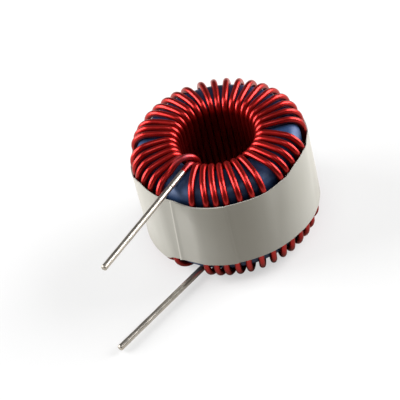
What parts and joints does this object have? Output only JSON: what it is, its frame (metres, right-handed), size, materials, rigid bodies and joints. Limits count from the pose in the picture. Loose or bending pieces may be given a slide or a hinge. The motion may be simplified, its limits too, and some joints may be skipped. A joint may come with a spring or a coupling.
{
  "type": "toroidal inductor",
  "caption": "Ring-core inductor wound in one layer of red enamelled wire, with film tape round the rim and two straight tinned leads leaving on one side.",
  "frame": {"origin": "on the ring's axis, in the plane that the lowest turns touch", "axes": "+Z along the ring's axis, away from the lower lead; both leads point along -Y"},
  "size_m": [0.0296, 0.0475, 0.0216],
  "materials": {
    "core_coat": "dark blue epoxy coat, satin",
    "wire_enamel": "red enamel over copper, glossy",
    "tinned_wire": "bright tinned copper",
    "film_tape": "milky film tape, satin"
  },
  "bodies": {
    "root": {"core": "core_coat", "winding": "wire_enamel", "upper_lead": "tinned_wire", "lower_lead": "tinned_wire", "tape_band": "film_tape"}
  },
  "joints": []
}
